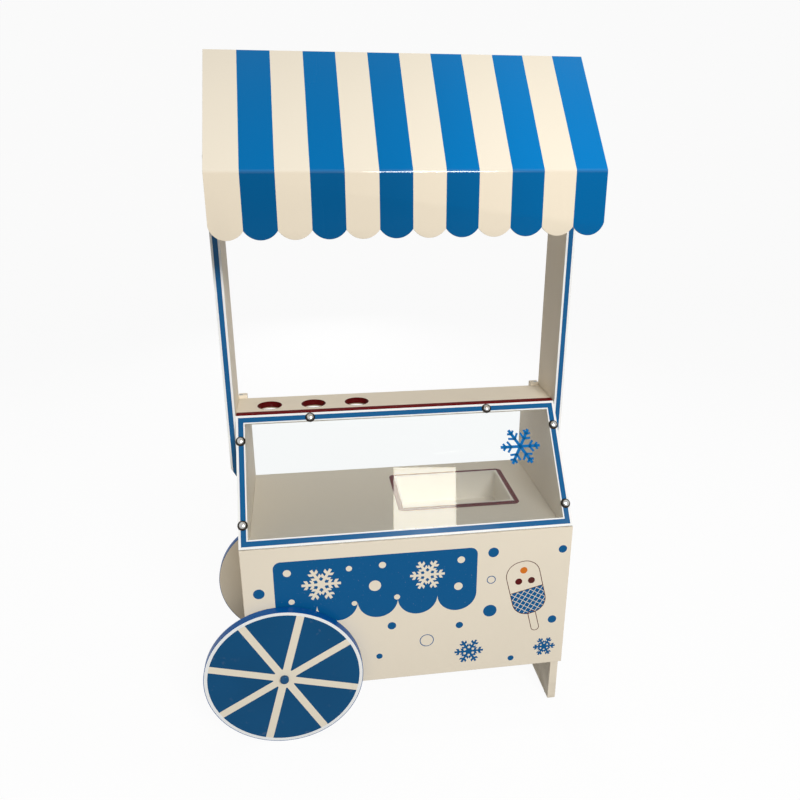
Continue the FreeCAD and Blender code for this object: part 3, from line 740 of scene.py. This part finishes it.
class KIOSK_OT_case_front(bpy.types.Operator):
    """Finish the clear sheet and its border, and model the dome screws and the snowflake sticker"""

    bl_idname = "kiosk.case_front"
    bl_label = "Clear front"

    def execute(self, context):
        sizes, colours = ready(context)
        dress(clear_sheet(), "acrylic_front")
        dress(border_tape_finish(colours, sizes), "border_tape")
        self.domes(sizes)
        self.sticker(sizes, colours)
        return {"FINISHED"}

    def domes(self, sizes):
        """Caps of a ball over a low straight skirt, six of them, at the sheet's screw holes."""
        skirt, shoulder, softened = 0.0010, 0.0006, 0.0002
        tape_thickness, side_inset = 0.0003, 0.008
        side_low, side_high, top_across, top_drop = 0.042, 0.0486, 0.166, 0.0094
        chrome = dome_chrome()
        ball = (sizes.dome_radius ** 2 + sizes.dome_height ** 2) / (2 * sizes.dome_height)
        release()
        bpy.ops.mesh.primitive_uv_sphere_add(segments=40, ring_count=24, radius=ball,
                                             location=(0, 0, sizes.dome_height - ball))
        model = bpy.context.object
        bpy.ops.object.transform_apply(location=True, rotation=True, scale=True)
        bpy.ops.object.mode_set(mode="EDIT")
        bpy.ops.mesh.select_all(action="SELECT")
        bpy.ops.mesh.bisect(plane_co=(0, 0, skirt), plane_no=(0, 0, 1), clear_inner=True, use_fill=True)
        bpy.ops.mesh.inset(thickness=-shoulder, use_outset=False, depth=0)
        bpy.ops.mesh.extrude_region_move(TRANSFORM_OT_translate={"value": (0, 0, -skirt)})
        bpy.ops.object.mode_set(mode="OBJECT")
        soften(model, width=softened, sharpness=50)
        turn = Vector((0, 0, 1)).rotation_difference(Vector((0, *case_out))).to_matrix().to_4x4()
        seats = [(side * across, run) for side in (-1, 1)
                 for across, run in ((case_half - side_inset, side_low),
                                     (case_half - side_inset, case_length - side_high),
                                     (top_across, case_length - top_drop))]
        for number, (across, run) in enumerate(seats, 1):
            dome = bpy.data.objects.new("dome_screw_%d" % number, model.data.copy())
            bpy.context.scene.collection.objects.link(dome)
            seat = on_case(across, run, sheet_thickness + tape_thickness)
            dome.matrix_world = Matrix.Translation(seat) @ turn
            settle(dome, chrome)
            if number == 1:
                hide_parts("acrylic_screws")
        bpy.data.objects.remove(model)

    def sticker(self, sizes, colours):
        """Six branched arms of thin film round a small hub, laid on the sheet's outer face."""
        reach, arm_width, twig_share, film, hub = sizes.flake_radius, 0.0058, 0.72, 0.0003, 0.0042
        across, run, lift = 0.222, 0.156, sheet_thickness + 0.00005
        twigs = [(reach * start, reach * length, lean) for start, length in ((0.45, 0.34), (0.74, 0.22))
                 for lean in (55, -55)]
        release()
        bpy.ops.mesh.primitive_cylinder_add(vertices=6, radius=hub, depth=film, location=(0, 0, film / 2))
        piece = bpy.context.object
        piece.name = "snowflake_sticker"
        bpy.ops.object.mode_set(mode="EDIT")
        for arm in range(6):
            turn = math.radians(60) * arm
            for start, far, lean in [(0.0, reach, 0)] + twigs:
                angle = turn + math.radians(lean)
                middle = (start * math.cos(turn) + far / 2 * math.cos(angle),
                          start * math.sin(turn) + far / 2 * math.sin(angle), film / 2)
                width = arm_width * twig_share if lean else arm_width
                bpy.ops.mesh.primitive_cube_add(size=1, location=middle, rotation=(0, 0, angle),
                                                scale=(far, width, film))
        bpy.ops.object.mode_set(mode="OBJECT")
        up, out = Vector((0, *case_along)), Vector((0, *case_out))
        axes = Matrix((up.cross(out), up, out)).transposed().to_4x4()
        piece.matrix_world = Matrix.Translation(on_case(across, run, lift)) @ axes
        settle(piece, satin_plastic("sticker_blue", colours.sticker_blue, 0.22, gloss=0.12))


class KIOSK_OT_fasteners(bpy.types.Operator):
    """Finish the screws, caps, dowels and glides"""

    bl_idname = "kiosk.fasteners"
    bl_label = "Fasteners"

    def execute(self, context):
        colours = context.scene.kiosk_colours
        dress(metal("zinc_screw", screen(196, 198, 196), 0.32), "corner_block_screws", "carcass_screws",
              "post_screws", "rail_screws")
        dress(satin_plastic("screw_cap", colours.cream, 0.42),
              "carcass_screw_caps", "post_screw_caps")
        dress(beech(), "front_dowels", "shelf_dowels")
        dress(satin_plastic("glide", screen(160, 156, 148), 0.55), "leg_glides")
        return {"FINISHED"}


class KIOSK_OT_stage(bpy.types.Operator):
    """Set the pale floor, the soft lamps and the camera of the photograph"""

    bl_idname = "kiosk.stage"
    bl_label = "Stage"

    def execute(self, context):
        look = context.scene.kiosk_stage
        self.floor()
        self.world(context, look)
        middle, away, post_line, side_height, side_size = (0.0, 0.0, 0.6), 3.6, 0.045, 0.75, (0.1, 1.0)
        self.lamp("key_lamp", (0.9, -3.7, 2.75), middle, (1.8, 0.9), look.key_power)
        # The side lamps stand in line with the posts, so each post shades the other one's inner face
        for name, place, size, share in (
                ("back_lamp", (0, away, 1.0), (0.8, 1.2), 1.0),
                ("left_lamp", (-away, post_line, side_height), side_size, 0.45),
                ("right_lamp", (away, post_line, side_height), side_size, 0.35)):
            fill = self.lamp(name, place, middle, size, look.fill_power * share)
            fill.visible_glossy, fill.data.spread = False, math.radians(100)
        mirrored_at, glare_place = (0.063, -0.118, 0.457), (0.448, -1.738, 2.450)
        self.lamp("glare_lamp", glare_place, mirrored_at, (0.325, 0.365), look.glare_power,
                  roll=-14, colour=(1.0, 0.95, 0.82))
        self.camera(context)
        context.scene.view_settings.view_transform = "Standard"
        return {"FINISHED"}

    def seen(self, finish, in_gloss):
        """1 for rays that meet the background straight from the camera or through glass, in_gloss by gloss.

        Rays that a matt surface has scattered get 0, or the white would add light to the object.
        """
        path = finish.node("ShaderNodeLightPath").socket.node
        camera, gloss, glass, scattered = [
            Wire(finish, path.outputs[name])
            for name in ("Is Camera Ray", "Is Glossy Ray", "Is Transmission Ray", "Diffuse Depth")]
        return (camera | glass | (gloss * in_gloss)) & (scattered < 0.5)

    def floor(self):
        """A pale floor that sweeps up behind; to the camera it glows nearly white and keeps a shadow."""
        side, forward, wall_height, sweep, near = 14, -1.5, 7, 2.2, 0.01
        rear = forward + side / 2
        bounce, shown, glow_share = (0.32,) * 3, (0.95,) * 3, 0.93
        release()
        bpy.ops.mesh.primitive_plane_add(size=side, location=(0, forward, 0))
        floor = bpy.context.object
        floor.name = "floor"
        bpy.ops.object.transform_apply(location=True, rotation=True, scale=True)
        bpy.ops.object.mode_set(mode="EDIT")
        pick_edges(floor, lambda place: place.y > rear - near)
        bpy.ops.mesh.extrude_region_move(TRANSFORM_OT_translate={"value": (0, 0, wall_height)})
        pick_edges(floor, lambda place: place.y > rear - near and place.z < near)
        bpy.ops.mesh.bevel(offset=sweep, segments=16, affect="EDGES")
        bpy.ops.object.mode_set(mode="OBJECT")
        finish = Finish("pale_floor")
        tone = finish.noise(1.4, 2.0)
        seen = self.seen(finish, 0.5)
        matt = finish.principled(finish.mix(seen, bounce, shown), 0.85 + tone * 0.05)
        glow = finish.node("ShaderNodeEmission", None, {"Color": (1, 1, 1), "Strength": 1.0})
        both = finish.node("ShaderNodeMixShader", None, {0: seen * glow_share, 1: matt, 2: glow})
        floor.data.materials.append(finish.close(both))
        focus(floor)
        bpy.ops.object.shade_smooth_by_angle(angle=math.radians(40))
        release()

    def world(self, context, look):
        """Even light from all sides, which the camera sees as white."""
        finish = Finish("pale_room", world=True)
        context.scene.world = finish.material
        sky = finish.node("ShaderNodeBackground", None, {"Color": (1.0, 0.985, 0.965),
                                                         "Strength": look.world_light})
        white = finish.node("ShaderNodeBackground", None, {"Color": (1, 1, 1), "Strength": 0.97})
        seen = self.seen(finish, 0.35)
        finish.close(finish.node("ShaderNodeMixShader", None, {0: seen, 1: sky, 2: white}))

    def lamp(self, name, place, target, size, power, roll=0, colour=(1, 1, 1)):
        """A rectangular lamp aimed at the target and hidden from the camera."""
        light = bpy.data.lights.new(name, "AREA")
        light.shape, light.energy, light.color = "RECTANGLE", power, colour
        light.size, light.size_y = size
        lamp = bpy.data.objects.new(name, light)
        bpy.context.scene.collection.objects.link(lamp)
        lamp.location = place
        aim = (Vector(target) - Vector(place)).to_track_quat("-Z", "Y").to_matrix()
        lamp.rotation_euler = (aim @ Matrix.Rotation(math.radians(roll), 3, "Z")).to_euler()
        lamp.visible_camera = False
        return lamp

    def camera(self, context):
        """The photograph's viewpoint, from corners of the boards measured in its 800 pixel frame."""
        yaw, pitch, roll = (math.radians(a) for a in (9.03, -21.31, -0.325))
        ahead = Vector((math.sin(yaw) * math.cos(pitch), math.cos(yaw) * math.cos(pitch), math.sin(pitch)))
        level = Vector((math.cos(yaw), -math.sin(yaw), 0))
        down = ahead.cross(level)
        right = level * math.cos(roll) + down * math.sin(roll)
        down = down * math.cos(roll) - level * math.sin(roll)
        data = bpy.data.cameras.new("photo_camera")
        eye = (-0.14169, -1.32684, 1.08835)
        frame_pixels, focal_pixels, centre = 800, 759.28, (418.547, 423.298)
        data.sensor_width = 36
        data.lens = focal_pixels / frame_pixels * data.sensor_width
        data.shift_x = (frame_pixels / 2 - centre[0]) / frame_pixels
        data.shift_y = (centre[1] - frame_pixels / 2) / frame_pixels
        camera = bpy.data.objects.new("photo_camera", data)
        context.scene.collection.objects.link(camera)
        turn = Matrix((right, -down, -ahead)).transposed().to_4x4()
        camera.matrix_world = Matrix.Translation(eye) @ turn
        context.scene.camera = camera


class KIOSK_PT_panel(bpy.types.Panel):
    """Buttons and settings of the kiosk's looks"""

    bl_idname = "KIOSK_PT_panel"
    bl_label = "Ice Cream Kiosk"
    bl_space_type = "VIEW_3D"
    bl_region_type = "UI"
    bl_category = "Kiosk"

    def draw(self, context):
        for operator in OPERATORS:
            self.layout.operator(operator.bl_idname)
        for group in (context.scene.kiosk_sizes, context.scene.kiosk_colours, context.scene.kiosk_stage):
            box = self.layout.box()
            for key in group.bl_rna.properties.keys():
                if key not in ("rna_type", "name"):
                    box.prop(group, key)


OPERATORS = (KIOSK_OT_boards, KIOSK_OT_awning, KIOSK_OT_wheels, KIOSK_OT_counter, KIOSK_OT_case_front,
             KIOSK_OT_fasteners, KIOSK_OT_stage)
GROUPS = {"kiosk_sizes": KioskSizes, "kiosk_colours": KioskColours, "kiosk_stage": StageLook}


def register():
    for kind in (*GROUPS.values(), *OPERATORS, KIOSK_PT_panel):
        bpy.utils.register_class(kind)
    for name, group in GROUPS.items():
        setattr(bpy.types.Scene, name, PointerProperty(type=group))


def unregister():
    for name in GROUPS:
        delattr(bpy.types.Scene, name)
    for kind in reversed((*GROUPS.values(), *OPERATORS, KIOSK_PT_panel)):
        bpy.utils.unregister_class(kind)


def main():
    register()
    bpy.ops.kiosk.boards()
    bpy.ops.kiosk.awning()
    bpy.ops.kiosk.wheels()
    bpy.ops.kiosk.counter()
    bpy.ops.kiosk.case_front()
    bpy.ops.kiosk.fasteners()
    bpy.ops.kiosk.stage()


if __name__ == "__main__":
    main()
